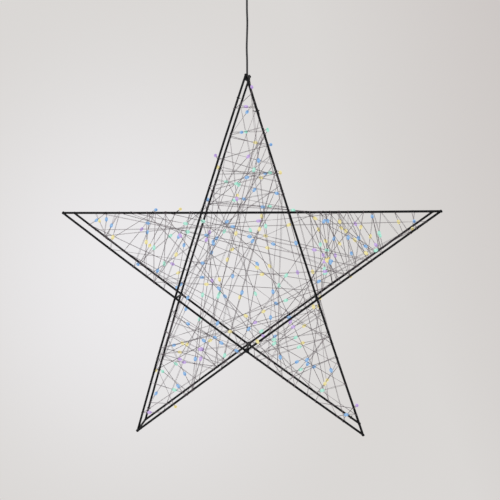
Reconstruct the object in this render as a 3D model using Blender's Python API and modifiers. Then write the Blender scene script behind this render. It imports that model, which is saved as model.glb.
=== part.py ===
"""A hanging star of black wire, wound all over with a string of small lights.

Two five-pointed stars of thin rods lie one behind the other. Short spacer rods join them at the
five tips and at the five corners of the pentagon in the middle. A black cord with a loop at its
top holds the star by its topmost spacer. Its lead runs on along a front rod and ends in a sleeve,
where the thin light string starts. The string is wound to and fro round the rods of both stars.

Metres, +Z up, the star faces -Y. The origin is where a hook bears inside the cord's loop.
"""

import math
import random

import bmesh
import bpy
import numpy as np
from mathutils import Vector

# Clearance between pieces that touch
GAP = 0.0003

# Wire star, its sizes taken along the centre lines of its rods
STAR_WIDTH = 0.575
SHOULDER_DROP = 0.207
FOOT_DROP = 0.337
FOOT_SPAN = 0.346
TOP_LEAN = 0.003
STAR_DEPTH = 0.065
ROD_DIAMETER = 0.0034
ROD_OVERRUN = 0.001
WELD_FLAT = 0.010
BOW_LEFT = 0.0035
BOW_DOWN = 0.0008

# How far the rear star lies to the left of the front one, and above it
REAR_LEFT = 0.0022
REAR_RISE = 0.0010

# Cord, its loop and its knots
CORD_DIAMETER = 0.003
CORD_LENGTH = 0.117
CORD_SWAY = 0.0005
LOOP_WIDTH = 0.011
LOOP_HEIGHT = 0.022
LOOP_KNOT_DIAMETER = 0.0066
TIP_KNOT_DIAMETER = 0.0052
TIP_KNOT_TURN = math.radians(45)

# Lead along the rod, with its tie and the sleeve on its splice, placed from the rod's tip. The
# side turn is how far it lies round from the rod's back towards its outer side.
LEAD_DIAMETER = 0.003
LEAD_TOUCH_PLACE = 0.020
LEAD_TIE_PLACE = 0.057
SPLICE_PLACE = 0.053
SPLICE_LENGTH = 0.011
SPLICE_WALL = 0.0004
SPLICE_EDGE = 0.0005
LEAD_SIDE_TURN = math.radians(30)
LEAD_TIE_DIAMETER = 0.0009

# Hitches of twine round single rods, placed from the nearest tip
HITCH_DIAMETER = 0.0015
TOP_HITCH_PLACE = 0.036
LOWER_LEFT_HITCH_PLACE = 0.020
LOWER_RIGHT_HITCH_PLACE = 0.016

# Light string, its beads and the cap on its end
STRING_DIAMETER = 0.0012
STRING_GAP = 0.0005
STRING_TURNS = 24
HOLDS_PER_TURN = 4
HOLD_SPACING = 0.005
BEAD_DIAMETER = 0.0044
BEAD_LENGTH = 0.007
SHORTEST_SPAN = 0.015
ACROSS_SPAN = 0.120
ZIGZAG_SHIFT = 0.035
OUTLINE_MARGIN = 0.003
END_RUN = 0.004
END_CAP_DIAMETER = 0.003
END_CAP_LENGTH = 0.008

# Shares of the lead's way over to its rod, where it bends
LEAD_BEND_SHARES = (1 / 3, 2 / 3)

# Shares of a rod that hold no string by its tip and its corners, and of a span where its bead may
# sit. ROUGHNESS_SHARES is how far chance may ease the count of how crowded a place is.
TIP_SHARE = 0.045
CORNER_SHARE = 0.015
BEAD_SHARES = (0.25, 0.75)
ROUGHNESS_SHARES = (0.6, 1.0)

# How each next place of the string is searched
STRING_SEED = 5
PLACES_DRAWN = 80
PLACES_TESTED = 16
MOST_STEPS_BACK = 400
ARM_SLACK = 2
SPAN_SAMPLES = 12
CROWDING_SAMPLES = slice(1, None, 3)
NEAREST_SAMPLES = 3

# Finishes as colour, roughness and metallic
BLACK_ENAMEL = ((0.012, 0.012, 0.014), 0.42, 0.0)
BLACK_RUBBER = ((0.014, 0.014, 0.015), 0.62, 0.0)
GREY_WIRE = ((0.13, 0.12, 0.13), 0.50, 0.2)

LAYER_NAMES = ("front", "rear")
FRONT, REAR = range(len(LAYER_NAMES))
LAYER_DEPTHS = (-STAR_DEPTH / 2, STAR_DEPTH / 2)
REAR_SHIFT = Vector((-REAR_LEFT, REAR_RISE)) / 2
LAYER_SHIFTS = (-REAR_SHIFT, REAR_SHIFT)
ROD_RADIUS = ROD_DIAMETER / 2
CORD_RADIUS = CORD_DIAMETER / 2
STRING_RADIUS = STRING_DIAMETER / 2
SPLICE_RADIUS = LEAD_DIAMETER / 2 + SPLICE_WALL
LEAD_OFFSET = ROD_RADIUS + GAP + SPLICE_RADIUS
LEAD_TIE_REACH = max(ROD_RADIUS, SPLICE_RADIUS) + GAP + LEAD_TIE_DIAMETER / 2
END_CAP_RADIUS = END_CAP_DIAMETER / 2

# Where two rods cross, each lies this far from the middle plane of its star
CROSSING_STEP = ROD_RADIUS + GAP / 2

# Tips of one star as (x, z) from the topmost spacer, and its rods from tip to tip in one round
TOP = Vector((0, 0))
LEFT = Vector((TOP_LEAN - STAR_WIDTH / 2, -SHOULDER_DROP))
RIGHT = Vector((TOP_LEAN + STAR_WIDTH / 2, -SHOULDER_DROP))
LOWER_LEFT = Vector((TOP_LEAN - FOOT_SPAN / 2, -SHOULDER_DROP - FOOT_DROP))
LOWER_RIGHT = Vector((TOP_LEAN + FOOT_SPAN / 2, -SHOULDER_DROP - FOOT_DROP))
TIPS = (LEFT, RIGHT, LOWER_LEFT, TOP, LOWER_RIGHT)
TIP_NAMES = ("left", "right", "lower_left", "top", "lower_right")
CORNER_NAMES = ("upper_left", "right", "left", "upper_right", "bottom")
LOWER_LEFT_ROD = TIP_NAMES.index("lower_left")
TOP_ROD = TIP_NAMES.index("top")
LOWER_RIGHT_ROD = TIP_NAMES.index("lower_right")

# Heights along the cord, from the hook down to the axis of the topmost spacer
LOOP_KNOT_Z = -LOOP_HEIGHT - CORD_DIAMETER - GAP - LOOP_KNOT_DIAMETER / 2
CORD_TOP_Z = LOOP_KNOT_Z - LOOP_KNOT_DIAMETER / 2 - GAP
CORD_FOOT_Z = CORD_TOP_Z - CORD_LENGTH
EYE_RADIUS = ROD_RADIUS + GAP + CORD_RADIUS
TIP_KNOT_RISE = EYE_RADIUS + CORD_RADIUS
STAR_Z = CORD_FOOT_Z - GAP - TIP_KNOT_DIAMETER / 2 - TIP_KNOT_RISE


def clear_scene():
    for thing in list(bpy.data.objects):
        bpy.data.objects.remove(thing)


def add_collection(name):
    group = bpy.data.collections.new(name)
    bpy.context.scene.collection.children.link(group)
    return group


def add_pivot(name, place, group, parent=None):
    pivot = bpy.data.objects.new(name, None)
    group.objects.link(pivot)
    pivot.parent = parent
    pivot.location = place
    return pivot


def add_piece(name, data, finish, parent, place=(0, 0, 0)):
    """A piece in its parent's collection, with a material of its own."""
    colour, roughness, metallic = finish
    material = bpy.data.materials.new(f"{name}_finish")
    material.use_nodes = True
    shader = material.node_tree.nodes["Principled BSDF"]
    shader.inputs["Base Color"].default_value = (*colour, 1)
    shader.inputs["Roughness"].default_value = roughness
    shader.inputs["Metallic"].default_value = metallic
    data.materials.append(material)
    piece = bpy.data.objects.new(name, data)
    parent.users_collection[0].objects.link(piece)
    piece.parent = parent
    piece.location = place
    return piece


def add_tube(name, path, radius, finish, parent, swells=None, bevel_resolution=2, ring=False):
    """A round tube along a path. swells gives the radius at each point as a multiple of radius."""
    curve = bpy.data.curves.new(name, "CURVE")
    curve.dimensions = "3D"
    curve.bevel_depth = radius
    curve.bevel_resolution = bevel_resolution
    curve.use_fill_caps = True
    spline = curve.splines.new("POLY")
    spline.points.add(len(path) - 1)
    for number, point in enumerate(path):
        spline.points[number].co = (*point, 1)
        if swells:
            spline.points[number].radius = swells[number]
    spline.use_cyclic_u = ring
    return add_piece(name, curve, finish, parent)


def add_ball(name, diameter, place, finish, parent):
    mesh = bpy.data.meshes.new(name)
    build = bmesh.new()
    bmesh.ops.create_uvsphere(build, u_segments=14, v_segments=9, radius=diameter / 2)
    build.to_mesh(mesh)
    build.free()
    mesh.shade_smooth()
    return add_piece(name, mesh, finish, parent, place)


def add_pin(name, radius, start, end, finish, parent, edge=0.0):
    """A straight round pin from start to end, with both rims bevelled by edge."""
    mesh = bpy.data.meshes.new(name)
    build = bmesh.new()
    length = (end - start).length
    bmesh.ops.create_cone(
        build, cap_ends=True, segments=12, radius1=radius, radius2=radius, depth=length
    )
    build.to_mesh(mesh)
    build.free()
    mesh.shade_smooth()
    mesh.set_sharp_from_angle(angle=math.radians(40))
    pin = add_piece(name, mesh, finish, parent, (start + end) / 2)
    pin.rotation_mode = "QUATERNION"
    pin.rotation_quaternion = (end - start).to_track_quat("Z", "Y")
    if edge:
        rims = pin.modifiers.new("rims", "BEVEL")
        rims.width = edge
        rims.segments = 2
    return pin


def oval_path(centre_a, centre_b, side, radius, steps):
    """A closed path: half a circle round each centre, joined by straight runs.

    side is the unit vector square to the line of centres in the path's plane.
    """
    along = (centre_b - centre_a).normalized()
    path = []
    for centre, half in ((centre_a, 0), (centre_b, 1)):
        for step in range(steps + 1):
            angle = math.pi * (step / steps + half)
            path.append(centre + radius * (side * math.cos(angle) - along * math.sin(angle)))
    return path


def circle_path(centre, across, up, radius, count):
    angles = [math.tau * number / count for number in range(count)]
    return [centre + radius * (across * math.cos(a) + up * math.sin(a)) for a in angles]


def smooth_path(route, steps):
    """A smooth curve through the points of a route, with a number of steps between two of them."""
    path = []
    padded = [2 * route[0] - route[1], *route, 2 * route[-1] - route[-2]]
    for before, start, end, after in zip(padded, padded[1:], padded[2:], padded[3:]):
        for step in range(steps):
            t = step / steps
            first = (end - before) * t
            second = (2 * before - 5 * start + 4 * end - after) * t**2
            third = (3 * start - before - 3 * end + after) * t**3
            path.append(start + (first + second + third) / 2)
    path.append(route[-1])
    return path


def in_space(flat):
    """A flat (x, z) direction of the star as one in space."""
    return Vector((flat[0], 0, flat[1]))


def rod_run(rod):
    """The straight way along a rod, from its own tip to the next one."""
    return TIPS[(rod + 1) % 5] - TIPS[rod]


def rod_outward(rod):
    """The unit vector square to a rod, pointing away from the star's middle."""
    square = rod_run(rod).orthogonal().normalized()
    middle = sum(TIPS, Vector((0, 0))) / 5
    return square if square.dot(TIPS[rod] - middle) > 0 else -square


def crossing_share(rod, other):
    """Where another rod crosses this one, as a share of this one's length."""
    square = rod_run(other).orthogonal()
    return (TIPS[other] - TIPS[rod]).dot(square) / rod_run(rod).dot(square)


# From its own tip, a rod first crosses the rod two further on, and then the one three further on
FIRST_SHARES = [crossing_share(rod, (rod + 2) % 5) for rod in range(5)]
SECOND_SHARES = [crossing_share(rod, (rod + 3) % 5) for rod in range(5)]
ROD_LENGTHS = [rod_run(rod).length for rod in range(5)]


def flat_place(rod, share):
    """The (x, z) of a rod at a share of its length. All rods bow a little to the same side."""
    bow = Vector((-BOW_LEFT, -BOW_DOWN)) * 4 * share * (1 - share)
    return TIPS[rod] + rod_run(rod) * share + bow


def weave(rod):
    """(share, depth) of the ends of a rod's flats, where it lies behind or before another."""
    flat = WELD_FLAT / ROD_LENGTHS[rod]
    over = ROD_OVERRUN / ROD_LENGTHS[rod]
    first = FIRST_SHARES[rod]
    second = SECOND_SHARES[rod]
    return [
        (-over, CROSSING_STEP),
        (flat, CROSSING_STEP),
        (first - flat, -CROSSING_STEP),
        (first + flat, -CROSSING_STEP),
        (second - flat, CROSSING_STEP),
        (second + flat, CROSSING_STEP),
        (1 - flat, -CROSSING_STEP),
        (1 + over, -CROSSING_STEP),
    ]


def in_layer(flat, layer, depth):
    """A flat place of the star in space, at a depth behind the middle plane of one of its layers."""
    x, z = flat + LAYER_SHIFTS[layer]
    return Vector((x, LAYER_DEPTHS[layer] + depth, z))


def rod_place(rod, layer, share):
    """A rod's centre line in the star's own space."""
    shares, depths = zip(*weave(rod))
    return in_layer(flat_place(rod, share), layer, float(np.interp(share, shares, depths)))


def rod_path(rod, layer):
    """The ends of a rod's flats, and the middle of each run between them for the bow."""
    shares = [share for share, depth in weave(rod)]
    shares += [(end + start) / 2 for end, start in zip(shares[1::2], shares[2::2])]
    return [rod_place(rod, layer, share) for share in sorted(shares)]


def spacer_places():
    """Each spacer's name and its (x, z)."""
    tips = [(f"tip_spacer_{name}", place) for name, place in zip(TIP_NAMES, TIPS)]
    corners = [
        (f"corner_spacer_{name}", flat_place(rod, FIRST_SHARES[rod]))
        for rod, name in enumerate(CORNER_NAMES)
    ]
    return tips + corners


def add_rods(star):
    for layer, layer_name in enumerate(LAYER_NAMES):
        for rod, tip_name in enumerate(TIP_NAMES):
            name = f"{layer_name}_rod_{tip_name}_to_{TIP_NAMES[(rod + 1) % 5]}"
            add_tube(name, rod_path(rod, layer), ROD_RADIUS, BLACK_ENAMEL, star)


def add_spacers(star):
    """Each spacer butts against the inner rod of a front crossing and that of the rear one."""
    inset = CROSSING_STEP + ROD_RADIUS + GAP
    for name, place in spacer_places():
        front_end = in_layer(place, FRONT, inset)
        rear_end = in_layer(place, REAR, -inset)
        add_pin(name, ROD_RADIUS, front_end, rear_end, BLACK_ENAMEL, star)


def add_cord_loop(loop_pivot, knot_pivot):
    """The loop that the hook bears on, and the ball of the knot that closes it."""
    top = Vector((0, 0, -LOOP_WIDTH / 2))
    foot = Vector((0, 0, LOOP_WIDTH / 2 - LOOP_HEIGHT))
    path = oval_path(top, foot, Vector((1, 0, 0)), LOOP_WIDTH / 2 + CORD_RADIUS, 8)
    add_tube("cord_loop", path, CORD_RADIUS, BLACK_RUBBER, loop_pivot, ring=True)
    add_ball("loop_knot", LOOP_KNOT_DIAMETER, (0, 0, 0), BLACK_RUBBER, knot_pivot)


def add_hanging_cord(cord_pivot):
    """The free cord from the loop's knot down to the knot at the star's tip."""
    sways = (0, 0, 1, 0, -1, 0, 0)
    route = [
        Vector((CORD_SWAY * sway, 0, CORD_TOP_Z - CORD_LENGTH * number / (len(sways) - 1)))
        for number, sway in enumerate(sways)
    ]
    cord = add_tube("hanging_cord", smooth_path(route, 3), CORD_RADIUS, BLACK_RUBBER, cord_pivot)
    cord.location.z = -LOOP_KNOT_Z


def tip_knot_places():
    """Centres of the two lumps of the tip knot, on the outer edge of the eye round the spacer."""
    turned = Vector((math.sin(TIP_KNOT_TURN), 0, math.cos(TIP_KNOT_TURN)))
    return [Vector((0, 0, TIP_KNOT_RISE)), TIP_KNOT_RISE * turned]


def add_tip_knot(cord_pivot, helper_pivot):
    """The cord's eye round the topmost spacer and the two lumps of its knot, as one solid."""
    foot = Vector((0, 0, STAR_Z - LOOP_KNOT_Z))
    across, up = Vector((1, 0, 0)), Vector((0, 0, 1))
    path = circle_path(Vector((0, 0, 0)), across, up, EYE_RADIUS, 18)
    guide = add_tube("eye_guide", path, CORD_RADIUS, BLACK_RUBBER, helper_pivot, ring=True)
    graph = bpy.context.evaluated_depsgraph_get()
    mesh = bpy.data.meshes.new_from_object(guide.evaluated_get(graph))
    bpy.data.objects.remove(guide)
    mesh.materials.clear()
    knot = add_piece("tip_knot", mesh, BLACK_RUBBER, cord_pivot, foot)
    for number, place in enumerate(tip_knot_places()):
        name = f"tip_knot_lump_{number}"
        lump = add_ball(name, TIP_KNOT_DIAMETER, STAR_Z * up + place, BLACK_RUBBER, helper_pivot)
        lump.hide_render = True
        lump.display_type = "WIRE"
        union = knot.modifiers.new(name, "BOOLEAN")
        union.operation = "UNION"
        union.object = lump


def by_top_rod(distance, offset):
    """A place at the lead's side of the front rod that carries it, at a distance from its tip."""
    place = rod_place(TOP_ROD, FRONT, distance / ROD_LENGTHS[TOP_ROD])
    outward = in_space(rod_outward(TOP_ROD)) * math.sin(LEAD_SIDE_TURN)
    return place + (outward + Vector((0, math.cos(LEAD_SIDE_TURN), 0))) * offset


def splice_ends():
    """The sleeve lies against the rod, in line with the lead."""
    start = by_top_rod(SPLICE_PLACE, LEAD_OFFSET)
    along = in_space(rod_run(TOP_ROD).normalized())
    return start, start + along * SPLICE_LENGTH


def tied_places():
    """The middles of the rod and of the sleeve, where the tie holds them together."""
    return by_top_rod(LEAD_TIE_PLACE, 0), by_top_rod(LEAD_TIE_PLACE, LEAD_OFFSET)


def lead_route():
    """From the front face of the tip knot's side lump over to the rod, and down beside it."""
    start = tip_knot_places()[1] - Vector((0, TIP_KNOT_DIAMETER / 2 + GAP, 0))
    touch = by_top_rod(LEAD_TOUCH_PLACE, LEAD_OFFSET)
    straight_share, bend_share = LEAD_BEND_SHARES
    straight = start + Vector((0, (touch.y - start.y) * straight_share, 0))
    bend = start.lerp(touch, bend_share)
    along = in_space(rod_run(TOP_ROD).normalized())
    return [start, straight, bend, touch, splice_ends()[0] - along * GAP]


def add_lead(star):
    path = smooth_path(lead_route(), 4)
    add_tube("lead_along_rod", path, LEAD_DIAMETER / 2, BLACK_RUBBER, star)
    start, end = splice_ends()
    add_pin("splice_sleeve", SPLICE_RADIUS, start, end, BLACK_RUBBER, star, edge=SPLICE_EDGE)
    rod, sleeve = tied_places()
    side = in_space(rod_run(TOP_ROD)).cross(sleeve - rod).normalized()
    path = oval_path(rod, sleeve, side, LEAD_TIE_REACH, 6)
    radius = LEAD_TIE_DIAMETER / 2
    add_tube("lead_tie", path, radius, BLACK_RUBBER, star, bevel_resolution=1, ring=True)


def hitch_places():
    """Each hitch's name, rod, layer and share of the rod."""
    left, right = LOWER_LEFT_ROD, LOWER_RIGHT_ROD
    return [
        ("rod_hitch_top", left, FRONT, 1 - TOP_HITCH_PLACE / ROD_LENGTHS[left]),
        ("rod_hitch_lower_left", left, REAR, LOWER_LEFT_HITCH_PLACE / ROD_LENGTHS[left]),
        ("rod_hitch_lower_right", right, REAR, LOWER_RIGHT_HITCH_PLACE / ROD_LENGTHS[right]),
    ]


def add_hitches(star):
    """Single turns of black twine knotted round a rod."""
    back = Vector((0, 1, 0))
    reach = ROD_RADIUS + GAP + HITCH_DIAMETER / 2
    for name, rod, layer, share in hitch_places():
        across = in_space(rod_outward(rod))
        path = circle_path(rod_place(rod, layer, share), across, back, reach, 12)
        radius = HITCH_DIAMETER / 2
        add_tube(name, path, radius, BLACK_RUBBER, star, bevel_resolution=1, ring=True)


def hold_path(rod, layer, share):
    """Half a turn round a rod: the string comes on at its outer face and leaves at its inner one.

    The middles of the two straight runs between the three points touch the rod.
    """
    centre = rod_place(rod, layer, share)
    reach = (ROD_RADIUS + GAP + STRING_RADIUS) / math.cos(math.radians(45))
    outward = in_space(rod_outward(rod)) * reach
    face = Vector((0, reach if layer == REAR else -reach, 0))
    return [centre + face, centre + outward, centre - face]


def end_cap_ends(hold):
    """The cap lies against the rod's inner face, from the string's last hold towards the tip."""
    rod, layer, share = hold
    inward = Vector((0, -1 if layer == REAR else 1, 0))
    offset = inward * (ROD_RADIUS + GAP + END_CAP_RADIUS)
    toward_tip = -1 if share < 0.5 else 1
    start = share + toward_tip * END_RUN / ROD_LENGTHS[rod]
    end = start + toward_tip * END_CAP_LENGTH / ROD_LENGTHS[rod]
    return [rod_place(rod, layer, start) + offset, rod_place(rod, layer, end) + offset]


def in_outline(points):
    """Whether flat points lie in the star's outline: at most one rod has them on its outer side."""
    outer_sides = np.zeros(len(points))
    for rod in range(5):
        height = (points - np.array(TIPS[rod])) @ np.array(rod_outward(rod))
        outer_sides += height > OUTLINE_MARGIN
    return outer_sides <= 1


def least_distances(starts, ends, other_starts, other_ends):
    """Least distances between two sets of straight pieces, as a table."""
    run = (ends - starts)[:, None]
    other = (other_ends - other_starts)[None]
    apart = starts[:, None] - other_starts[None]
    run_run = (run * run).sum(-1)
    other_other = (other * other).sum(-1)
    run_other = (run * other).sum(-1)
    run_apart = (run * apart).sum(-1)
    other_apart = (other * apart).sum(-1)
    square = np.maximum(run_run * other_other - run_other**2, np.finfo(float).tiny)
    s = np.clip((run_other * other_apart - run_apart * other_other) / square, 0, 1)
    t = np.clip((run_other * s + other_apart) / other_other, 0, 1)
    s = np.clip((run_other * t - run_apart) / run_run, 0, 1)
    return np.linalg.norm(apart + s[..., None] * run - t[..., None] * other, axis=-1)


class Runs:
    """Straight round runs, kept as their ends and radii, that a new run has to clear."""

    def __init__(self):
        self.starts = np.zeros((0, 3))
        self.ends = np.zeros((0, 3))
        self.radii = np.zeros(0)

    def add(self, path, radii):
        path = np.array(path)
        self.starts = np.vstack([self.starts, path[:-1]])
        self.ends = np.vstack([self.ends, path[1:]])
        self.radii = np.append(self.radii, np.broadcast_to(radii, len(path) - 1))

    def drop(self, count):
        self.starts = self.starts[:-count]
        self.ends = self.ends[:-count]
        self.radii = self.radii[:-count]

    def gap_to(self, path, radii, joined=0):
        """The least gap to a path, but not from its first run to the last ones, which it joins."""
        path = np.array(path)
        gaps = least_distances(path[:-1], path[1:], self.starts, self.ends)
        gaps -= radii[:, None] + self.radii[None]
        if joined:
            gaps[0, -joined:] = math.inf
        return gaps.min(initial=math.inf)


def fixed_runs():
    """All that the string passes: rods, spacers, hitches, and the lead with its sleeve."""
    fixed = Runs()
    for layer in (FRONT, REAR):
        for rod in range(5):
            fixed.add(rod_path(rod, layer), ROD_RADIUS)
    for name, place in spacer_places():
        fixed.add([in_layer(place, layer, 0) for layer in (FRONT, REAR)], ROD_RADIUS)
    for name, rod, layer, share in hitch_places():
        width = in_space(rod_run(rod).normalized()) * HITCH_DIAMETER / 2
        place = rod_place(rod, layer, share)
        fixed.add([place - width, place + width], ROD_RADIUS + GAP + HITCH_DIAMETER)
    fixed.add(smooth_path(lead_route(), 4), SPLICE_RADIUS)
    fixed.add(splice_ends(), SPLICE_RADIUS)
    fixed.add(tied_places(), LEAD_TIE_REACH + LEAD_TIE_DIAMETER / 2)
    return fixed


def span_path(start, bead_share, hold):
    """From where the string left a hold, through a bead, to the next hold and round it."""
    along = (hold[0] - start).normalized() * BEAD_LENGTH / 2
    bead = start.lerp(hold[0], bead_share)
    return [start, bead - along, bead, bead + along, *hold]


# Radius of the string at each point of a span after its start, and of each run between two points
SPAN_SWELLS = [1, BEAD_DIAMETER / STRING_DIAMETER, 1, 1, 1, 1]
SPAN_RADII = np.array([STRING_RADIUS, BEAD_DIAMETER / 2, BEAD_DIAMETER / 2] + 3 * [STRING_RADIUS])


def draw_place(chance, arm):
    """A place on one of the four edges of an arm, as its rod, layer and share."""
    layer = chance.choice((FRONT, REAR))
    if chance.random() < 0.5:
        share = chance.uniform(TIP_SHARE, FIRST_SHARES[arm] - CORNER_SHARE)
        return arm, layer, share
    rod = (arm - 1) % 5
    share = chance.uniform(SECOND_SHARES[rod] + CORNER_SHARE, 1 - TIP_SHARE)
    return rod, layer, share


def arm_of(place):
    """The arm that a place is on, by the number of its tip."""
    rod, layer, share = place
    return rod if share < 0.5 else (rod + 1) % 5


def tip_distance(place):
    """How far a place lies from the nearer tip of its rod."""
    rod, layer, share = place
    return min(share, 1 - share) * ROD_LENGTHS[rod]


def may_follow(place, holds, zigzag):
    """Whether a span can go on to a place, before its own clearance is tested."""
    rod, layer, share = place
    last_rod, last_layer, last_share = holds[-1]
    start = flat_place(last_rod, last_share)
    end = flat_place(rod, share)
    length = (end - start).length
    if zigzag:
        shift = abs(tip_distance(place) - tip_distance(holds[-1]))
        if rod == last_rod or length < SHORTEST_SPAN or shift > ZIGZAG_SHIFT:
            return False
    elif layer == last_layer or length < ACROSS_SPAN:
        return False
    spacing = HOLD_SPACING / ROD_LENGTHS[rod]
    if any(hold[:2] == (rod, layer) and abs(hold[2] - share) < spacing for hold in holds):
        return False
    return in_outline(span_samples(start, end)).all()


def span_samples(start, end):
    """Evenly spaced flat points between the ends of a span."""
    shares = np.linspace(0, 1, SPAN_SAMPLES + 2)[1:-1, None]
    return np.array(start) * (1 - shares) + np.array(end) * shares


class Winding:
    """The light string as it is wound: its path, its holds and what it has to clear."""

    def __init__(self):
        self.chance = random.Random(STRING_SEED)
        start, end = splice_ends()
        along = (end - start).normalized()
        self.path = [end + along * GAP, end + along * END_RUN]
        self.holds = [(TOP_ROD, FRONT, (SPLICE_PLACE + SPLICE_LENGTH) / ROD_LENGTHS[TOP_ROD])]
        self.fixed = fixed_runs()
        self.wound = Runs()
        self.samples = []

    def crowding(self, samples):
        """How near points of a new span lie to those of the spans that are there."""
        if not self.samples:
            return 0
        gaps = np.linalg.norm(samples[:, None] - np.vstack(self.samples), axis=-1)
        return -np.sort(gaps, axis=None)[:NEAREST_SAMPLES].mean()

    def next_places(self, zigzag):
        """Places drawn by chance that the string may go on to, roughly the least crowded first.

        A zigzag goes to the other side of the arm where the string is, and any other span goes
        over to another arm. An arm that has had its part of the holds is left out.
        """
        last_arm = arm_of(self.holds[-1])
        start = flat_place(self.holds[-1][0], self.holds[-1][2])
        arms = [arm_of(hold) for hold in self.holds]
        most = len(arms) / len(TIPS) + ARM_SLACK
        found = []
        for _ in range(PLACES_DRAWN):
            arm = last_arm if zigzag else (last_arm + self.chance.randint(1, 4)) % 5
            place = draw_place(self.chance, arm)
            if arms.count(arm) < most and may_follow(place, self.holds, zigzag):
                samples = span_samples(start, flat_place(place[0], place[2]))
                crowding = self.crowding(samples[CROWDING_SAMPLES])
                found.append((crowding * self.chance.uniform(*ROUGHNESS_SHARES), place))
        return [place for rating, place in sorted(found)[:PLACES_TESTED]]

    def is_clear(self, span, place, is_last):
        """Whether a span clears all that is there, and so does the end cap after the last one.

        The span joins the runs round the hold before it, which are as many as round its own.
        """
        if self.fixed.gap_to(span, SPAN_RADII) < GAP / 2:
            return False
        hold_runs = len(hold_path(*place)) - 1
        if self.wound.gap_to(span, SPAN_RADII, joined=hold_runs) < STRING_GAP:
            return False
        cap = end_cap_ends(place)
        return not is_last or self.wound.gap_to(cap, np.array([END_CAP_RADIUS])) > STRING_GAP

    def add_span(self, is_last):
        """Winds the string on to one more hold, if a clear one is found."""
        zigzag_turn = len(self.holds) % 2 == 0
        for zigzag in (zigzag_turn, not zigzag_turn):
            for place in self.next_places(zigzag):
                bead_share = self.chance.uniform(*BEAD_SHARES)
                span = span_path(self.path[-1], bead_share, hold_path(*place))
                if self.is_clear(span, place, is_last):
                    start = flat_place(self.holds[-1][0], self.holds[-1][2])
                    samples = span_samples(start, flat_place(place[0], place[2]))
                    self.samples.append(samples[CROWDING_SAMPLES])
                    self.wound.add(span, SPAN_RADII)
                    self.path += span[1:]
                    self.holds.append(place)
                    return True
        return False

    def take_back(self):
        """Takes back the last span, if there is one."""
        if len(self.holds) > 1:
            self.holds.pop()
            self.path = self.path[: -len(SPAN_RADII)]
            self.wound.drop(len(SPAN_RADII))
            self.samples.pop()


def wind_string():
    """Winds the string over its number of turns. Where it finds no clear place, it steps back."""
    winding = Winding()
    count = STRING_TURNS * HOLDS_PER_TURN
    steps_back = 0
    while len(winding.holds) <= count and steps_back < MOST_STEPS_BACK:
        if not winding.add_span(is_last=len(winding.holds) == count):
            winding.take_back()
            steps_back += 1
    start, end = end_cap_ends(winding.holds[-1])
    winding.path.append(start - (end - start).normalized() * GAP)
    return winding


def add_light_string(star):
    """The string with its beads, and the cap on its end."""
    winding = wind_string()
    hold_count = len(winding.holds) - 1
    swells = [1, 1] + SPAN_SWELLS * hold_count + [1]
    path = winding.path
    add_tube("light_string", path, STRING_RADIUS, GREY_WIRE, star, swells, bevel_resolution=1)
    start, end = end_cap_ends(winding.holds[-1])
    add_pin("string_end_cap", END_CAP_RADIUS, start, end, BLACK_RUBBER, star)
    report_string(path, swells, hold_count)


def report_string(path, swells, hold_count):
    """Prints the string's length and its least gap to itself, away from where runs join."""
    points = np.array(path)
    lengths = np.linalg.norm(np.diff(points, axis=0), axis=1)
    radii = STRING_RADIUS * np.maximum(swells[:-1], swells[1:])
    gaps = least_distances(points[:-1], points[1:], points[:-1], points[1:])
    gaps -= radii[:, None] + radii[None]
    numbers = np.arange(len(radii))
    gaps[np.abs(numbers[:, None] - numbers[None]) < 3] = math.inf
    print(f"light string: {hold_count} holds, {lengths.sum():.2f} m, least gap {gaps.min():.5f} m")


def build():
    clear_scene()
    group = add_collection("lighted_star")
    helpers = add_collection("helpers")
    loop_pivot = add_pivot("loop_pivot", (0, 0, 0), group)
    knot_pivot = add_pivot("knot_pivot", (0, 0, LOOP_KNOT_Z), group)
    cord_pivot = add_pivot("cord_pivot", (0, 0, 0), group, knot_pivot)
    star_pivot = add_pivot("star_pivot", (0, 0, STAR_Z - LOOP_KNOT_Z), group, cord_pivot)
    helper_pivot = add_pivot("helper_pivot", (0, 0, 0), helpers)
    add_cord_loop(loop_pivot, knot_pivot)
    add_hanging_cord(cord_pivot)
    add_tip_knot(cord_pivot, helper_pivot)
    add_rods(star_pivot)
    add_spacers(star_pivot)
    add_lead(star_pivot)
    add_hitches(star_pivot)
    add_light_string(star_pivot)


build()
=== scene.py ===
"""The looks of a hanging star of black wire, wound all over with a string of small lights."""

import math
import random

import bmesh
import bpy
import numpy as np
from mathutils import Matrix, Vector


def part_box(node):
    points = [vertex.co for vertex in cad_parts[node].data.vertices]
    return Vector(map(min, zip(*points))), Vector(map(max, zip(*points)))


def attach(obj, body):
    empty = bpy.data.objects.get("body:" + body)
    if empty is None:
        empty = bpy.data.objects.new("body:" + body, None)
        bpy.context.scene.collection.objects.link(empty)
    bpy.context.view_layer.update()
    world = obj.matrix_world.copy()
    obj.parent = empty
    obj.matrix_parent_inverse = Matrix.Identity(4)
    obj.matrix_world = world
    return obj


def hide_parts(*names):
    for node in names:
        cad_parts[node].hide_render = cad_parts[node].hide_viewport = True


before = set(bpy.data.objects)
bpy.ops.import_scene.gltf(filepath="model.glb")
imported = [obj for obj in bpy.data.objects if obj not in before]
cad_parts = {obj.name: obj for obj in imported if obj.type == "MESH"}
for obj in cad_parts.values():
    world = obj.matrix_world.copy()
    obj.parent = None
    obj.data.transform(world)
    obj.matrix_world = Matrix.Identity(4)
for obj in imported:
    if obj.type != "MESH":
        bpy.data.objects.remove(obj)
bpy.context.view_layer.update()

# Camera. It stands a little to the right of the star and looks slightly down and to the left.
# Place, turn and lens are those that put all ten tips where the photograph has them.
bpy.ops.object.select_all(action="DESELECT")
CAMERA_PLACE = (0.1101, -1.2318, -0.3890)
CAMERA_TURN = (88.420, 0.150, 4.929)
turn = [math.radians(angle) for angle in CAMERA_TURN]
bpy.ops.object.camera_add(location=CAMERA_PLACE, rotation=turn)
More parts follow.
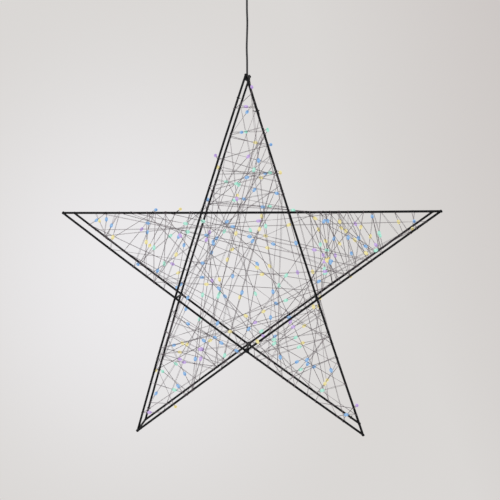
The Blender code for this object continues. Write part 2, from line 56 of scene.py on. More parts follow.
camera = bpy.context.object
camera.data.sensor_width = 36
camera.data.lens = 57.10
bpy.context.scene.camera = camera

# Hanging cord. A round black two-core lead in a soft jacket is pulled straight by the star. It
# runs from the knot at the star's tip up to its hook loop, a little wavy from its coil.
CORD_DIAMETER = 0.003
CORD_LENGTH = 0.117
CORD_TOP_Z = -0.0322
CORD_SWAY = 0.0005
CORD_SWAYS = (0, 0, 1, 0, -1, 0, 0)
JACKET_BLACK = (0.014, 0.014, 0.015)
JACKET_DUST = (0.034, 0.033, 0.032)


def add_socket(group, name, kind, way, value=None):
    socket = group.interface.new_socket(name, in_out=way, socket_type=kind)
    if value is not None:
        socket.default_value = value


def make_surface_marks():
    """A node group: faint patches of a second colour, uneven gloss, and a fine height."""
    group = bpy.data.node_groups.new("surface_marks", "ShaderNodeTree")
    add_socket(group, "Color", "NodeSocketColor", "INPUT")
    add_socket(group, "Mark Color", "NodeSocketColor", "INPUT")
    add_socket(group, "Mark Share", "NodeSocketFloat", "INPUT", 0.5)
    add_socket(group, "Patch Scale", "NodeSocketFloat", "INPUT", 60.0)
    add_socket(group, "Grain Scale", "NodeSocketFloat", "INPUT", 900.0)
    add_socket(group, "Roughness", "NodeSocketFloat", "INPUT", 0.5)
    add_socket(group, "Roughness Spread", "NodeSocketFloat", "INPUT", 0.2)
    add_socket(group, "Color", "NodeSocketColor", "OUTPUT")
    add_socket(group, "Roughness", "NodeSocketFloat", "OUTPUT")
    add_socket(group, "Height", "NodeSocketFloat", "OUTPUT")
    nodes, links = group.nodes, group.links
    given = nodes.new("NodeGroupInput")
    result = nodes.new("NodeGroupOutput")
    place = nodes.new("ShaderNodeTexCoord")
    patches = nodes.new("ShaderNodeTexNoise")
    patches.inputs["Detail"].default_value = 5
    grain = nodes.new("ShaderNodeTexNoise")
    grain.inputs["Detail"].default_value = 3
    links.new(place.outputs["Object"], patches.inputs["Vector"])
    links.new(place.outputs["Object"], grain.inputs["Vector"])
    links.new(given.outputs["Patch Scale"], patches.inputs["Scale"])
    links.new(given.outputs["Grain Scale"], grain.inputs["Scale"])
    edge = nodes.new("ShaderNodeMapRange")
    edge.inputs["From Min"].default_value = 0.48
    edge.inputs["From Max"].default_value = 0.68
    links.new(patches.outputs["Fac"], edge.inputs["Value"])
    share = nodes.new("ShaderNodeMath")
    share.operation = "MULTIPLY"
    links.new(edge.outputs["Result"], share.inputs[0])
    links.new(given.outputs["Mark Share"], share.inputs[1])
    blend = nodes.new("ShaderNodeMix")
    blend.data_type = "RGBA"
    links.new(share.outputs["Value"], blend.inputs[0])
    links.new(given.outputs["Color"], blend.inputs[6])
    links.new(given.outputs["Mark Color"], blend.inputs[7])
    links.new(blend.outputs[2], result.inputs["Color"])
    spread = nodes.new("ShaderNodeMath")
    spread.operation = "MULTIPLY"
    links.new(patches.outputs["Fac"], spread.inputs[0])
    links.new(given.outputs["Roughness Spread"], spread.inputs[1])
    gloss = nodes.new("ShaderNodeMath")
    gloss.operation = "ADD"
    links.new(given.outputs["Roughness"], gloss.inputs[0])
    links.new(spread.outputs["Value"], gloss.inputs[1])
    links.new(gloss.outputs["Value"], result.inputs["Roughness"])
    links.new(grain.outputs["Fac"], result.inputs["Height"])
    return group


surface_marks = make_surface_marks()


def make_finish(name, color, mark_color, mark_share, scales, roughness, spread, height):
    """A material of one main colour with the surface marks in it."""
    material = bpy.data.materials.new(name)
    material.use_nodes = True
    nodes, links = material.node_tree.nodes, material.node_tree.links
    shader = nodes["Principled BSDF"]
    marks = nodes.new("ShaderNodeGroup")
    marks.node_tree = surface_marks
    marks.inputs["Color"].default_value = (*color, 1)
    marks.inputs["Mark Color"].default_value = (*mark_color, 1)
    marks.inputs["Mark Share"].default_value = mark_share
    marks.inputs["Patch Scale"].default_value = scales[0]
    marks.inputs["Grain Scale"].default_value = scales[1]
    marks.inputs["Roughness"].default_value = roughness
    marks.inputs["Roughness Spread"].default_value = spread
    bump = nodes.new("ShaderNodeBump")
    bump.inputs["Distance"].default_value = height
    bump.inputs["Strength"].default_value = 0.6
    links.new(marks.outputs["Color"], shader.inputs["Base Color"])
    links.new(marks.outputs["Roughness"], shader.inputs["Roughness"])
    links.new(marks.outputs["Height"], bump.inputs["Height"])
    links.new(bump.outputs["Normal"], shader.inputs["Normal"])
    return material


def smooth_path(route, steps):
    """A smooth curve through the points of a route, with a number of steps between two of them."""
    path = []
    padded = [2 * route[0] - route[1], *route, 2 * route[-1] - route[-2]]
    for before, start, end, after in zip(padded, padded[1:], padded[2:], padded[3:]):
        for step in range(steps):
            t = step / steps
            first = (end - before) * t
            second = (2 * before - 5 * start + 4 * end - after) * t**2
            third = (3 * start - before - 3 * end + after) * t**3
            path.append(start + (first + second + third) / 2)
    path.append(route[-1])
    return path


def lay_tube(name, paths, radius, material, ring=False, round_steps=4):
    """Round tubes along paths, as one curve object."""
    curve = bpy.data.curves.new(name, "CURVE")
    curve.dimensions = "3D"
    curve.bevel_depth = radius
    curve.bevel_resolution = round_steps
    curve.use_fill_caps = True
    curve.materials.append(material)
    for path in paths:
        spline = curve.splines.new("POLY")
        spline.points.add(len(path) - 1)
        for point, place in zip(spline.points, path):
            point.co = (*place, 1)
        spline.use_cyclic_u = ring
        spline.use_smooth = True
    tube = bpy.data.objects.new(name, curve)
    bpy.context.scene.collection.objects.link(tube)
    return tube


jacket = make_finish("cord_jacket", JACKET_BLACK, JACKET_DUST, 0.5, (90, 1400), 0.5, 0.2, 0.00008)
cord_route = [
    Vector((CORD_SWAY * sway, 0, CORD_TOP_Z - CORD_LENGTH * number / (len(CORD_SWAYS) - 1)))
    for number, sway in enumerate(CORD_SWAYS)
]
hanging_cord = lay_tube("hanging_cord_jacket", [smooth_path(cord_route, 6)], CORD_DIAMETER / 2, jacket)
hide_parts("hanging_cord")
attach(hanging_cord, "cord")

# Hook loop and its knot. The cord's own end is laid back in a small loop and closed with a knot:
# one strand led twice round the standing part, so that three bights show on its side.
LOOP_WIDTH = 0.011
LOOP_HEIGHT = 0.022
KNOT_STRAND = 0.0023


def knot_path(centre, axis, rise, ring, sway, points=72):
    """A strand led twice round an axis while it weaves in and out three times."""
    axis = axis.normalized()
    across = axis.orthogonal().normalized()
    other = axis.cross(across)
    path = []
    for number in range(points):
        angle = math.tau * number / points
        reach = ring + sway * math.cos(3 * angle)
        flat = across * math.cos(2 * angle) + other * math.sin(2 * angle)
        path.append(centre + flat * reach + axis * rise * math.sin(3 * angle))
    return path


loop_radius = (LOOP_WIDTH + CORD_DIAMETER) / 2
loop_path = []
for middle_z, first in ((-LOOP_WIDTH / 2, 0), (LOOP_WIDTH / 2 - LOOP_HEIGHT, 1)):
    for step in range(25):
        angle = math.pi * (first + step / 24)
        x, z = loop_radius * math.cos(angle), loop_radius * math.sin(angle)
        loop_path.append(Vector((x, 0, middle_z + z)))
cord_loop = lay_tube("hook_loop", [loop_path], CORD_DIAMETER / 2, jacket, ring=True)
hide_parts("cord_loop")
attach(cord_loop, "loop")

knot_low, knot_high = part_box("loop_knot")
knot_middle = (Vector(knot_low) + Vector(knot_high)) / 2
path = knot_path(knot_middle, Vector((0, 0, 1)), 0.0017, 0.0017, 0.0008)
loop_knot = lay_tube("hook_loop_knot", [path], KNOT_STRAND / 2, jacket, ring=True)
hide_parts("loop_knot")
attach(loop_knot, "knot")

# Tip knot. The cord comes down in a bight to a tight eye round the topmost spacer rod. A round
# knot closes the eye on its right, where the lead leaves for the front rod.
ROD_DIAMETER = 0.0034
GAP = 0.0003
TIP_KNOT_TURN = math.radians(50)
EYE_RADIUS = 0.0029
BIGHT_WIDTH, BIGHT_MIDDLE, BIGHT_HEIGHT = 0.0006, 0.0052, 0.0023
top_low, top_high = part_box("tip_spacer_top")
tip = (Vector(top_low) + Vector(top_high)) / 2
knot_reach = ROD_DIAMETER / 2 + GAP + CORD_DIAMETER
turns = np.linspace(0, math.tau, 36, endpoint=False)
circle = [Vector((math.cos(angle), 0, math.sin(angle))) for angle in turns]
eye_path = [tip + EYE_RADIUS * point for point in circle]
bight_path = [tip + Vector((BIGHT_WIDTH * p.x, 0, BIGHT_MIDDLE + BIGHT_HEIGHT * p.z)) for p in circle]
lump = tip + knot_reach * Vector((math.sin(TIP_KNOT_TURN), 0, math.cos(TIP_KNOT_TURN)))
strands = [eye_path, bight_path, knot_path(lump, Vector((1, 0, 1)), 0.0009, 0.0011, 0.0005)]
tip_knot = lay_tube("tip_knot_strands", strands, KNOT_STRAND / 2, jacket, ring=True)
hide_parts("tip_knot")
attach(tip_knot, "cord")

# Frame rods and spacers. Ten steel rods of 3.4 mm make two stars, and ten short ones join them,
# all under satin black enamel. Each is a round tube along the middle of its solid, and three of
# the long ones stand out a little more half-way, as rods do that are straightened by hand.
ENAMEL_BLACK = (0.004, 0.004, 0.005)
ENAMEL_WORN = (0.013, 0.012, 0.013)
STAR_DEPTH = 0.065
REAR_SHIFT = Vector((-0.0022, 0, 0.0010))
TIP_NAMES = ("left", "right", "lower_left", "top", "lower_right")
CORNER_NAMES = ("upper_left", "right", "left", "upper_right", "bottom")
LAYER_NAMES = ("front", "rear")
ROD_BOWS = (0, 0, 0.001, 0.001, 0.0005)


def centre_line(node, start, sides):
    """The middles of the rings of a tube's mesh, from the end nearest to start."""
    graph = bmesh.new()
    graph.from_mesh(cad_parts[node].data)
    bmesh.ops.remove_doubles(graph, verts=graph.verts, dist=1e-6)
    graph.verts.index_update()
    ring = sorted(graph.verts, key=lambda vert: (vert.co - start).length)[:sides]
    seen = set()
    middles = []
    while ring:
        seen.update(vert.index for vert in ring)
        middles.append(sum((vert.co for vert in ring), Vector()) / len(ring))
        near = {edge.other_vert(vert) for vert in ring for edge in vert.link_edges}
        ring = sorted((v for v in near if v.index not in seen), key=lambda v: v.index)
    graph.free()
    return middles


def flat(point):
    return np.array((point[0], point[2]))


def rod_outward(rod):
    """The unit vector in the star's plane square to a rod, away from the star's middle."""
    run = tips[(rod + 1) % 5] - tips[rod]
    square = np.array((-run[1], run[0])) / np.linalg.norm(run)
    x, z = square if square @ (tips[rod] - star_middle) > 0 else -square
    return Vector((x, 0, z))


def line_point(line, distance):
    """The point of a line of points at a distance along it."""
    places = np.array(line)
    lengths = np.concatenate([[0], np.cumsum(np.linalg.norm(np.diff(places, axis=0), axis=1))])
    return Vector([np.interp(distance, lengths, places[:, axis]) for axis in range(3)])


enamel = make_finish("frame_enamel", ENAMEL_BLACK, ENAMEL_WORN, 0.4, (45, 700), 0.4, 0.2, 0.00012)
enamel.node_tree.nodes["Principled BSDF"].inputs["Specular IOR Level"].default_value = 0.15
tips = []
for name in TIP_NAMES:
    low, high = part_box(f"tip_spacer_{name}")
    tips.append(flat((Vector(low) + Vector(high)) / 2))
star_middle = sum(tips) / 5
rods = {}
for number, name in enumerate(TIP_NAMES):
    low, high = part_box(f"tip_spacer_{name}")
    for layer, layer_name in enumerate(LAYER_NAMES):
        node = f"{layer_name}_rod_{name}_to_{TIP_NAMES[(number + 1) % 5]}"
        start = (Vector(low) + Vector(high)) / 2 + REAR_SHIFT * (layer - 0.5)
        start.y = (low[1], high[1])[layer]
        line = centre_line(node, start, 8)
        length = (line[-1] - line[0]).length
        for place, point in enumerate(line):
            swell = math.sin(math.pi * min(1, (point - line[0]).length / length))
            line[place] = point + rod_outward(number) * ROD_BOWS[number] * swell
        rods[number, layer] = line
        rod = lay_tube(f"{node}_bar", [rods[number, layer]], ROD_DIAMETER / 2, enamel, round_steps=6)
        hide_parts(node)
        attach(rod, "star")

spacer_places = []
for node in [f"tip_spacer_{n}" for n in TIP_NAMES] + [f"corner_spacer_{n}" for n in CORNER_NAMES]:
    low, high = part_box(node)
    middle = (Vector(low) + Vector(high)) / 2
    spacer_places.append(middle)
    slant = Vector((0, 1, 0)) + REAR_SHIFT / STAR_DEPTH
    ends = [middle + slant * (y - middle.y) for y in (low[1], high[1])]
    spacer = lay_tube(f"{node}_bar", [ends], ROD_DIAMETER / 2, enamel, round_steps=6)
    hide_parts(node)
    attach(spacer, "star")

# Welds. A small lump of metal under the enamel joins the rods wherever two cross and a spacer
# ends, largest at the bottom corner. One lump is copied to all twenty places, each turned.
WELD_RADIUS = 0.0024
BOTTOM_WELD, TIP_WELD = 1.5, 0.85
weld_chance = random.Random(7)
layer_depth = max(abs(point.y) for point in rods[0, 0]) - ROD_DIAMETER / 2 - GAP / 2
bpy.ops.mesh.primitive_ico_sphere_add(subdivisions=3, radius=WELD_RADIUS)
weld = bpy.context.object
bpy.ops.object.mode_set(mode="EDIT")
bpy.ops.mesh.select_all(action="SELECT")
bpy.ops.transform.resize(value=(1.25, 1.0, 1.0))
bpy.ops.transform.vertex_random(offset=0.00018, seed=3)
bpy.ops.mesh.vertices_smooth(factor=0.5)
bpy.ops.object.mode_set(mode="OBJECT")
bpy.ops.object.shade_smooth()
weld.data.materials.append(enamel)
welds = []
for number, middle in enumerate(spacer_places):
    size = BOTTOM_WELD if number == len(spacer_places) - 1 else TIP_WELD if number < 5 else 1
    for side in (-1, 1):
        lump = weld.copy()
        lump.data = weld.data.copy()
        bpy.context.scene.collection.objects.link(lump)
        turned = Matrix.Rotation(weld_chance.uniform(0, math.tau), 4, "Y") @ Matrix.Scale(size, 4)
        forward = Vector((0, side * layer_depth, 0)) + REAR_SHIFT * side / 2
        place = Matrix.Translation(middle + forward)
        lump.data.transform(place @ turned)
        welds.append(lump)
bpy.data.objects.remove(weld)


def join_pieces(name, parts):
    """Makes one object of several, under a new name."""
    bpy.ops.object.select_all(action="DESELECT")
    for part in parts:
        part.select_set(True)
    bpy.context.view_layer.objects.active = parts[0]
    bpy.ops.object.join()
    joined = bpy.context.object
    joined.name = name
    joined.select_set(False)
    return joined


frame_welds = join_pieces("frame_welds", welds)
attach(frame_welds, "star")

# Lead, its tie and the splice. From the tip knot the lead goes over to the right-hand front rod
# and down beside it, to a shrunk plastic sleeve. A thin tie with short tails binds that to the rod.
SLEEVE_BLACK = (0.016, 0.016, 0.017)
SLEEVE_SCUFF = (0.05, 0.05, 0.05)
LEAD_DIAMETER = 0.003
LEAD_TUCK = 0.0011
SPLICE_PLACE = 0.053
SLEEVE_LENGTH = 0.011
SLEEVE_RADIUS = 0.0018
SLEEVE_SHARES = (0, 0.06, 0.2, 0.45, 0.7, 0.9, 1)
SLEEVE_FULLNESS = (0.88, 0.98, 1, 0.94, 1, 0.9, 0.55)
TIE_PLACE = 0.057
TIE_DIAMETER = 0.0009
TIE_REACH = 0.0026
TIE_TAIL = Vector((-0.0042, -0.0004, 0.0014))
ROD_OVERRUN = 0.001
sleeve_plastic = make_finish(
    "sleeve_plastic", SLEEVE_BLACK, SLEEVE_SCUFF, 0.35, (160, 1800), 0.4, 0.2, 0.00006
)
lead_low, lead_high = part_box("lead_along_rod")
lead_start = Vector((lead_low[0], lead_low[1], lead_high[2]))
lead_line = centre_line("lead_along_rod", lead_start, 8)
top_rod = rods[3, 0]
rod_way = (top_rod[-1] - top_rod[0]).normalized()
tuck = Vector((0, 1, 0)).cross(rod_way) * LEAD_TUCK
for number, point in enumerate(lead_line):
    lead_line[number] = point + tuck * min(1, 3 * number / len(lead_line))
lead = lay_tube("lead_jacket", [smooth_path(lead_line, 2)], LEAD_DIAMETER / 2, jacket)
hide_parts("lead_along_rod")
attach(lead, "star")

sleeve_line = [lead_line[-1] + rod_way * (GAP + SLEEVE_LENGTH * share) for share in SLEEVE_SHARES]
sleeve = lay_tube("splice_sleeve_shrunk", [sleeve_line], SLEEVE_RADIUS, sleeve_plastic)
for point, fullness in zip(sleeve.data.splines[0].points, SLEEVE_FULLNESS):
    point.radius = fullness
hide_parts("splice_sleeve")
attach(sleeve, "star")
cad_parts["string_end_cap"].data.materials.clear()
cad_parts["string_end_cap"].data.materials.append(sleeve_plastic)

rod_middle = top_rod[0] + rod_way * (TIE_PLACE + ROD_OVERRUN)
sleeve_middle = lead_line[-1] + rod_way * (TIE_PLACE - SPLICE_PLACE + GAP)
across = (sleeve_middle - rod_middle).normalized()
square = across.cross(rod_way)
tie_path = []
for middle, first in ((sleeve_middle, 0), (rod_middle, 1)):
    for step in range(13):
        angle = math.pi * (first + step / 12)
        tie_path.append(middle + TIE_REACH * (square * math.cos(angle) + across * math.sin(angle)))
leftmost = tie_path.index(min(tie_path, key=lambda point: point.x))
tie_path = tie_path[leftmost:] + tie_path[: leftmost + 1]
tail_gap = rod_way * TIE_DIAMETER / 2
tie_path = [tie_path[0] + TIE_TAIL - tail_gap, *tie_path, tie_path[0] + TIE_TAIL + tail_gap]
tie = lay_tube("lead_tie_band", [tie_path], TIE_DIAMETER / 2, sleeve_plastic)
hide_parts("lead_tie")
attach(tie, "star")

# Hitches. Three short ends of black twine, each laid from two twisted strands, are hitched once
# round a rod and pulled into a small knot.
TWINE_BLACK = (0.015, 0.015, 0.016)
TWINE_FLUFF = (0.06, 0.058, 0.055)
TWINE_STRAND = 0.0006
twine = make_finish("twine", TWINE_BLACK, TWINE_FLUFF, 0.6, (400, 5000), 0.75, 0.2, 0.0001)


def strand_paths(centre, across, other, radius, twists, reach):
    """Two strands twisted round each other along a circle."""
    axis = across.cross(other)
    paths = []
    for phase in (0, math.pi):
        path = []
        for angle in np.linspace(0, math.tau, 96, endpoint=False):
            outward = across * math.cos(angle) + other * math.sin(angle)
            roll = twists * angle + phase
            place = outward * (radius + reach * math.cos(roll)) + axis * reach * math.sin(roll)
            path.append(centre + place)
        paths.append(path)
    return paths


for node, rod_key in (
    ("rod_hitch_top", (2, 0)),
    ("rod_hitch_lower_left", (2, 1)),
    ("rod_hitch_lower_right", (4, 1)),
):
    low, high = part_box(node)
    middle = (Vector(low) + Vector(high)) / 2
    line = rods[rod_key]
    way = (line[-1] - line[0]).normalized()
    side = Vector((0, 1, 0)).cross(way).normalized()
    radius = ROD_DIAMETER / 2 + TWINE_STRAND / 2
    paths = strand_paths(middle, side, Vector((0, 1, 0)), radius, 9, TWINE_STRAND / 2)
    knot = middle + side * (radius + TWINE_STRAND)
    paths.append(knot_path(knot, way, 0.0003, 0.0006, 0.0002))
    hitch = lay_tube(f"{node}_twine", paths, TWINE_STRAND / 2, twine, ring=True, round_steps=2)
    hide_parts(node)
    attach(hitch, "star")

# The winding. The string's first and last spans lie where its solid has them. Half-way along come
# more: for each arm the string zigzags out between the arm's two rods, with half a turn round
# each, and then crosses the middle of the star from arm to arm a few times.
#
# ARM_TURNS has the further turns on each arm, in the order of TIP_NAMES. The single shares are
# shares of a rod's length from the arm's tip: the least of a turn, the least of a crossing, the
# most of both, how far chance moves a turn, and how far half a turn creeps along the rod.
# The solid's middle line has SPAN_POINTS points for each span, from FIRST_SPAN on, and
# SPAN_PLACES are those of the bead and of the turn's two ends among them.
SPAN_POINTS = 6
FIRST_SPAN = 2
SPAN_PLACES = (1, 3, 5)
INSERT_AFTER = 48
ARM_TURNS = (10, 18, 8, 14, 8)
MIDDLE_CROSSINGS = 4
TIP_SHARE = 0.05
CROSSING_SHARE = 0.15
CORNER_SHARE = 0.365
SCATTER_SHARE = 0.03
CREEP_SHARE = 0.012
SPAN_TEST_SHARES = (0.15, 0.3, 0.5, 0.7, 0.85)
OUTLINE_MARGIN = 0.003
SLACK_REACH = (0.003, 0.008)
SLACK_SLIDE = 0.008
WRAP_RADIUS = 0.0021
STRING_SIDES = 6
WIND_SEED = 5


def rod_point(rod, layer, share):
    """The point of a rod's middle line at a share of its length from its own tip."""
    line = rods[rod, layer]
    length = sum((end - start).length for start, end in zip(line, line[1:]))
    return line_point(line, ROD_OVERRUN + share * (length - 2 * ROD_OVERRUN))


def turn_points(rod, layer, shares, reach, slide):
    """The points of half a turn round a rod's outward side, from its outer face to its inner one."""
    outer_face = Vector((0, 1 if layer else -1, 0))
    outward = rod_outward(rod)
    along = (rods[rod, layer][-1] - rods[rod, layer][0]).normalized()
    points = []
    for angle in range(0, 181, 45):
        middle = rod_point(rod, layer, shares[0] + (shares[1] - shares[0]) * angle / 180)
        turn = math.radians(angle)
        side = reach if 0 < angle < 180 else WRAP_RADIUS
        point = middle + outer_face * WRAP_RADIUS * math.cos(turn) + outward * side * math.sin(turn)
        points.append(point + along * slide * math.sin(turn))
    return points


def on_arm(arm, side, share):
    """A place at a share from an arm's tip, on the one or the other of the arm's two rods."""
    return (arm, share) if side else ((arm - 1) % 5, 1 - share)


def may_span(start, end):
    """Whether a span goes from rod to rod and stays in the star, as seen from the front."""
    for share in SPAN_TEST_SHARES:
        point = flat(rod_point(start[0], 0, start[1]).lerp(rod_point(end[0], 0, end[1]), share))
        outside = 0
        for rod in range(5):
            height = (point - flat(rod_point(rod, 0, 0.5))) @ flat(rod_outward(rod))
            outside += height > OUTLINE_MARGIN
        if outside > 1:
            return False
    return start[0] != end[0]


def solid_turn(middle, bead):
    """A turn of the solid string, as its rod, layer and shares, with the bead before it."""
    layer = int(middle.y > 0)
    found = []
    for rod in range(5):
        run = tips[(rod + 1) % 5] - tips[rod]
        share = float((flat(middle) - tips[rod]) @ run / (run @ run))
        found.append(((rod_point(rod, layer, share) - middle).length, rod, share))
    rod, share = min(found)[1:]
    return rod, layer, (share, share), bead


def crossing_from(last):
    """A place on some arm that the string can cross over to, left to chance."""
    place = last
    while not may_span(last, place):
        share = wind_chance.uniform(CROSSING_SHARE, CORNER_SHARE)
        place = on_arm(wind_chance.randrange(5), wind_chance.randrange(2), share)
    return place


def lead_to(place):
    """Takes the string to a place, over other arms while the straight way there leaves the star."""
    while not may_span(places[-1], place):
        places.append(crossing_from(places[-1]))
    places.append(place)


string_low, string_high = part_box("splice_sleeve")
string_start = Vector((string_high[0], (string_low[1] + string_high[1]) / 2, string_low[2]))
string_line = centre_line("light_string", string_start, STRING_SIDES)
solid_turns = []
for at in range(FIRST_SPAN, len(string_line) - SPAN_POINTS, SPAN_POINTS):
    bead, first, last = (string_line[at + step] for step in SPAN_PLACES)
    solid_turns.append(solid_turn((first + last) / 2, bead))

wind_chance = random.Random(WIND_SEED)
before, after = ((turn[0], turn[2][0]) for turn in solid_turns[INSERT_AFTER - 1 : INSERT_AFTER + 1])
places = [before]
for arm, turns in enumerate(ARM_TURNS):
    for step, share in enumerate(np.linspace(CORNER_SHARE, TIP_SHARE, turns)):
        share += wind_chance.uniform(-SCATTER_SHARE, SCATTER_SHARE)
        lead_to(on_arm(arm, step % 2, float(np.clip(share, TIP_SHARE, CORNER_SHARE))))
    for _ in range(MIDDLE_CROSSINGS):
        places.append(crossing_from(places[-1]))
lead_to(after)
more_turns = []
for rod, share in places[1:-1]:
    creep = wind_chance.uniform(-CREEP_SHARE, CREEP_SHARE)
    more_turns.append((rod, wind_chance.randrange(2), (share, share + creep), None))
winding = solid_turns[:INSERT_AFTER] + more_turns + solid_turns[INSERT_AFTER:]

# The two wires. Two thin lacquered copper wires run side by side. They lie together at each bead
# and round each rod, and stand a little apart between them, as two slack wires do.
#
# On the further spans a bead comes every BEAD_STEP. One that would come within TURN_ROOM of a
# turn sits on that turn, which is slack there by SLACK_REACH and SLACK_SLIDE.
WIRE_RADIUS = 0.00022
WIRE_OFFSET = 0.0003
SPLAYS = (0.0001, 0.0007)
SLENDERNESS = 12
STATION_SHARES = (0.2, 0.5, 0.8)
WIRE_SEED = 11
BOW_SHARE = 0.008
BEAD_LENGTH = 0.0074
BEAD_DIAMETER = 0.0053
BEAD_STEP = 0.1
TURN_ROOM = 0.009
BEAD_MIX = {"mint": 3, "sky": 4, "yellow": 3, "violet": 2}
WIRE_GREY = (0.15, 0.122, 0.135)
# The mauve mark colour is painted light: its patches on the lacquer stand in for the glow of the beads
# falling on the wires.
WIRE_PAINTED_BEAD_GLOW = (0.27, 0.20, 0.22)
chance = random.Random(WIRE_SEED)
wire_lacquer = make_finish("string_wire", WIRE_GREY, WIRE_PAINTED_BEAD_GLOW, 0.6, (50, 1500), 0.3, 0.2, 0.00002)
wire_lacquer.node_tree.nodes["Principled BSDF"].inputs["Metallic"].default_value = 0.3
stations = [(string_line[0], Vector((0, 1, 0)), WIRE_OFFSET)]
beads = []


def side_way(way):
    """A unit vector square to a way, in a direction left to chance."""
    turned = Matrix.Rotation(chance.uniform(0, math.tau), 3, way)
    return turned @ way.orthogonal().normalized()


def run_wires(start, end):
    """The stations of a free stretch between two points where the wires lie together."""
    way = (end - start).normalized()
    side = side_way(way)
    bow = side_way(way) * (end - start).length * BOW_SHARE * chance.uniform(-1, 1)
    splay = min(chance.uniform(*SPLAYS), (end - start).length / SLENDERNESS)
    for share in STATION_SHARES:
        swell = math.sin(math.pi * share)
        point = start.lerp(end, share) + bow * swell
        stations.append((point, side, WIRE_OFFSET + splay * swell))


def next_color():
    """The colour of the next bead on the string, left to chance in the string's own mix."""
    return chance.choices(list(BEAD_MIX), BEAD_MIX.values())[0]


def thread_bead(bead, way):
    """Leads the wires on to a bead that lies along a way, and through it."""
    run_wires(stations[-1][0], bead - way * BEAD_LENGTH / 2)
    side = side_way(way)
    stations.extend((bead + way * BEAD_LENGTH * half, side, WIRE_OFFSET) for half in (-0.5, 0.5))
    beads.append((next_color(), bead, way))


to_bead = BEAD_STEP / 2
for rod, layer, shares, bead in winding:
    start = stations[-1][0]
    points = turn_points(rod, layer, shares, WRAP_RADIUS, 0)
    length = (points[0] - start).length
    way = (points[0] - start).normalized()
    if bead is not None:
        thread_bead(bead, way)
    else:
        while to_bead < length - TURN_ROOM:
            thread_bead(start + way * to_bead, way)
            to_bead += BEAD_STEP
        if to_bead < length + TURN_ROOM:
            slide = chance.uniform(-SLACK_SLIDE, SLACK_SLIDE)
            points = turn_points(rod, layer, shares, chance.uniform(*SLACK_REACH), slide)
            beads.append((next_color(), points[2], (points[3] - points[1]).normalized()))
            to_bead += BEAD_STEP
        to_bead -= length
    run_wires(stations[-1][0], points[0])
    along = (rods[rod, layer][-1] - rods[rod, layer][0]).normalized()
    stations.extend((point, along, WIRE_OFFSET) for point in points)
stations.append((string_line[-1], stations[-1][1], WIRE_OFFSET))
wire_paths = [[point + side * offset * way for point, side, offset in stations] for way in (-1, 1)]
string_wires = lay_tube("string_wires", wire_paths, WIRE_RADIUS, wire_lacquer, round_steps=1)
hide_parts("light_string")
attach(string_wires, "star")

# The beads. Each light is a drop of clear resin over a tiny chip on the two wires, lit in one of
# four pastel colours. The drop is fat in the middle, where it glows most, and thin at its ends.
BEAD_COLORS = {
    "mint": ((0.20, 0.64, 0.48), (0.46, 0.82, 0.69)),
    "sky": ((0.09, 0.26, 0.58), (0.27, 0.50, 0.78)),
    "yellow": ((0.69, 0.55, 0.17), (0.85, 0.78, 0.37)),
    "violet": ((0.37, 0.22, 0.59), (0.58, 0.42, 0.78)),
}
bpy.ops.mesh.primitive_uv_sphere_add(segments=8, ring_count=6, radius=BEAD_DIAMETER / 2)
drop = bpy.context.object
bpy.ops.object.mode_set(mode="EDIT")
bpy.ops.mesh.select_all(action="SELECT")
bpy.ops.transform.resize(value=(1, 1, BEAD_LENGTH / BEAD_DIAMETER))
bpy.ops.object.mode_set(mode="OBJECT")
bpy.ops.object.shade_smooth()
glow = drop.data.attributes.new("glow", "FLOAT", "POINT")
for vert in drop.data.vertices:
    glow.data[vert.index].value = 1 - abs(vert.co.z) / (BEAD_LENGTH / 2)
bead_pieces = {name: [] for name in BEAD_COLORS}
for color, place, way in beads:
    copy = drop.copy()
    copy.data = drop.data.copy()
    bpy.context.scene.collection.objects.link(copy)
    copy.data.transform(Matrix.Translation(place) @ way.to_track_quat("Z", "Y").to_matrix().to_4x4())
    bead_pieces[color].append(copy)
bpy.data.objects.remove(drop)

for name, (rim, core) in BEAD_COLORS.items():
    resin = bpy.data.materials.new(f"bead_{name}")
    resin.use_nodes = True
    nodes, links = resin.node_tree.nodes, resin.node_tree.links
    shader = nodes["Principled BSDF"]
    shader.inputs["Roughness"].default_value = 0.12
    shader.inputs["Emission Strength"].default_value = 0.95
    shader.inputs["Base Color"].default_value = (0.05, 0.05, 0.05, 1)
    near_chip = nodes.new("ShaderNodeAttribute")
    near_chip.attribute_name = "glow"
    blend = nodes.new("ShaderNodeMix")
    blend.data_type = "RGBA"
    blend.inputs[6].default_value = (*rim, 1)
    blend.inputs[7].default_value = (*core, 1)
    links.new(near_chip.outputs["Fac"], blend.inputs[0])
    links.new(blend.outputs[2], shader.inputs["Emission Color"])
    piece = join_pieces(f"beads_{name}", bead_pieces[name])
    piece.data.materials.clear()
    piece.data.materials.append(resin)
    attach(piece, "star")

# Wall and floor. A plain pale wall stands some way behind the star, over a plain floor. Seen by
# the camera it is lit in one wide soft patch on the left, and falls into shade on the right.
WALL_PLAIN = (0.704, 0.684, 0.668)
WALL_LIT = (0.839, 0.827, 0.841)
WALL_SHADE = (0.441, 0.379, 0.364)
LIT_MIDDLE = (-0.704, -2.615, 0)
LIT_REACH = (1.265, 1.359, 1)
SHADE_START = (-0.431, -0.154, 0)
SHADE_TURN = math.radians(19.6)
SHADE_REACH = 2.291
FLOOR_COLOR = (0.75, 0.74, 0.73)
bpy.ops.mesh.primitive_plane_add(size=12, location=(0, 2.2, 2), rotation=(math.radians(90), 0, 0))
wall = bpy.context.object
wall.name = "wall"
bpy.ops.mesh.primitive_plane_add(size=12, location=(0, -3.8, -2.0))
floor = bpy.context.object
floor.name = "floor"
for stage_piece in (wall, floor):
    paint = bpy.data.materials.new(f"{stage_piece.name}_paint")
    paint.use_nodes = True
    shader = paint.node_tree.nodes["Principled BSDF"]
    shader.inputs["Roughness"].default_value = 0.9
    shader.inputs["Base Color"].default_value = (*FLOOR_COLOR, 1)
    stage_piece.data.materials.append(paint)

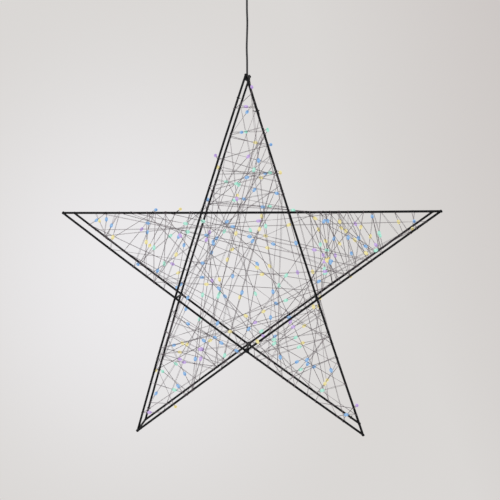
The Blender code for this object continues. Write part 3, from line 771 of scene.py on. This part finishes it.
nodes = wall.data.materials[0].node_tree.nodes
links = wall.data.materials[0].node_tree.links
place = nodes.new("ShaderNodeTexCoord")
tint = (*WALL_PLAIN, 1)
for kind, middle, turned, reach, color in (
    ("LINEAR", SHADE_START, SHADE_TURN, (SHADE_REACH, 1, 1), WALL_SHADE),
    ("SPHERICAL", LIT_MIDDLE, 0, LIT_REACH, WALL_LIT),
):
    spot = nodes.new("ShaderNodeMapping")
    spot.vector_type = "TEXTURE"
    spot.inputs["Location"].default_value = middle
    spot.inputs["Rotation"].default_value = (0, 0, turned)
    spot.inputs["Scale"].default_value = reach
    links.new(place.outputs["Object"], spot.inputs["Vector"])
    fade = nodes.new("ShaderNodeTexGradient")
    fade.gradient_type = kind
    links.new(spot.outputs["Vector"], fade.inputs["Vector"])
    ease = nodes.new("ShaderNodeMapRange")
    ease.interpolation_type = "LINEAR" if kind == "LINEAR" else "SMOOTHSTEP"
    links.new(fade.outputs["Fac"], ease.inputs["Value"])
    blend = nodes.new("ShaderNodeMix")
    blend.data_type = "RGBA"
    links.new(ease.outputs["Result"], blend.inputs[0])
    if kind == "LINEAR":
        blend.inputs[6].default_value = tint
    else:
        links.new(tint, blend.inputs[6])
    blend.inputs[7].default_value = (*color, 1)
    tint = blend.outputs[2]
seen = nodes.new("ShaderNodeEmission")
links.new(tint, seen.inputs["Color"])
ray = nodes.new("ShaderNodeLightPath")
direct = nodes.new("ShaderNodeMath")
direct.operation = "MAXIMUM"
links.new(ray.outputs["Is Camera Ray"], direct.inputs[0])
links.new(ray.outputs["Is Transmission Ray"], direct.inputs[1])
either = nodes.new("ShaderNodeMath")
either.operation = "MAXIMUM"
links.new(direct.outputs["Value"], either.inputs[0])
links.new(ray.outputs["Is Glossy Ray"], either.inputs[1])
choice = nodes.new("ShaderNodeMixShader")
links.new(either.outputs["Value"], choice.inputs["Fac"])
links.new(nodes["Principled BSDF"].outputs["BSDF"], choice.inputs[1])
links.new(seen.outputs["Emission"], choice.inputs[2])
links.new(choice.outputs["Shader"], nodes["Material Output"].inputs["Surface"])

# Light. Soft daylight comes from all round, with a large pale window to the left in front. Both
# are plain, and their level leaves the black wire dark.
world = bpy.data.worlds.new("room")
bpy.context.scene.world = world
world.use_nodes = True
world.node_tree.nodes["Background"].inputs["Color"].default_value = (0.97, 0.985, 1.0, 1)
world.node_tree.nodes["Background"].inputs["Strength"].default_value = 0.7
bpy.ops.object.light_add(type="AREA", location=(-1.6, -2.2, 0.9))
window = bpy.context.object
window.data.size = 1.6
window.data.energy = 40
window.rotation_euler = (Vector((0, 0, -0.4)) - window.location).to_track_quat("-Z", "Y").to_euler()

bpy.context.scene.view_settings.view_transform = "Standard"
